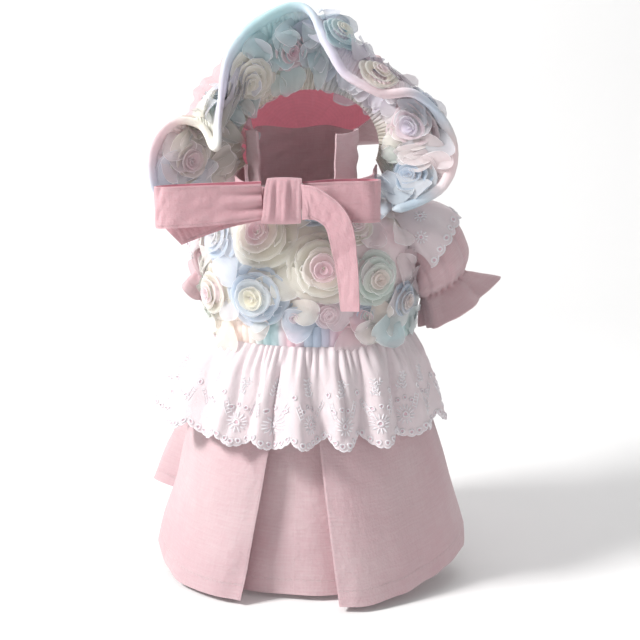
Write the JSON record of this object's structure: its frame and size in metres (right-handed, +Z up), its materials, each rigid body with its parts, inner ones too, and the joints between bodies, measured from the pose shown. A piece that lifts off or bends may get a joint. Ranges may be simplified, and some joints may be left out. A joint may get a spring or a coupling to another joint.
{
  "type": "small dog dress with bonnet",
  "caption": "Pink linen dog dress with chiffon roses, puff sleeves, eyelet peplum, pleated skirt and a rosette-brimmed bonnet hung behind the neck, tied with a bow.",
  "frame": {"origin": "middle of the neck passage, a little above the neck seam, where the dress is held up as a neck holds it", "axes": "+Z up through the neck; -Y the front with the roses and the bow; +X the wearer's left, which the picture and the nodes' names have as right"},
  "size_m": [0.2536, 0.1904, 0.3942],
  "materials": {
    "linen": "pale pink slubbed linen",
    "ribbon": "pale pink folded linen tie",
    "eyelet_lace": "white cotton with eyelet embroidery",
    "rosette_cloth": "pastel dyed chiffon ground",
    "chiffon_rose": "sheer pastel chiffon roses"
  },
  "bodies": {
    "root": {"bodice": "rosette_cloth", "neck_collar": "linen", "waistband": "rosette_cloth", "peplum_lace": "eyelet_lace", "skirt": "linen", "sleeve_right": "linen", "sleeve_left": "linen", "sleeve_lace_right": "eyelet_lace", "sleeve_lace_left": "eyelet_lace", "hood_crown": "linen", "hood_brim": "rosette_cloth", "bow_knot": "ribbon", "bow_loop_left": "ribbon", "bow_loop_right": "ribbon", "bow_tail_left": "ribbon", "bow_tail_right": "ribbon", "neck_tie_left": "ribbon", "neck_tie_right": "ribbon", "rose_bodice_01": "chiffon_rose", "rose_bodice_02": "chiffon_rose", "rose_bodice_03": "chiffon_rose", "rose_bodice_04": "chiffon_rose", "rose_bodice_05": "chiffon_rose", "rose_bodice_06": "chiffon_rose", "rose_bodice_07": "chiffon_rose", "rose_bodice_08": "chiffon_rose", "rose_bodice_09": "chiffon_rose", "rose_bodice_10": "chiffon_rose", "rose_bodice_11": "chiffon_rose", "rose_bodice_12": "chiffon_rose", "rose_brim_01": "chiffon_rose", "rose_brim_02": "chiffon_rose", "rose_brim_03": "chiffon_rose", "rose_brim_04": "chiffon_rose", "rose_brim_05": "chiffon_rose", "rose_brim_06": "chiffon_rose", "rose_brim_07": "chiffon_rose", "rose_brim_08": "chiffon_rose", "rose_brim_09": "chiffon_rose", "rose_brim_10": "chiffon_rose", "rose_brim_11": "chiffon_rose"}
  },
  "joints": []
}
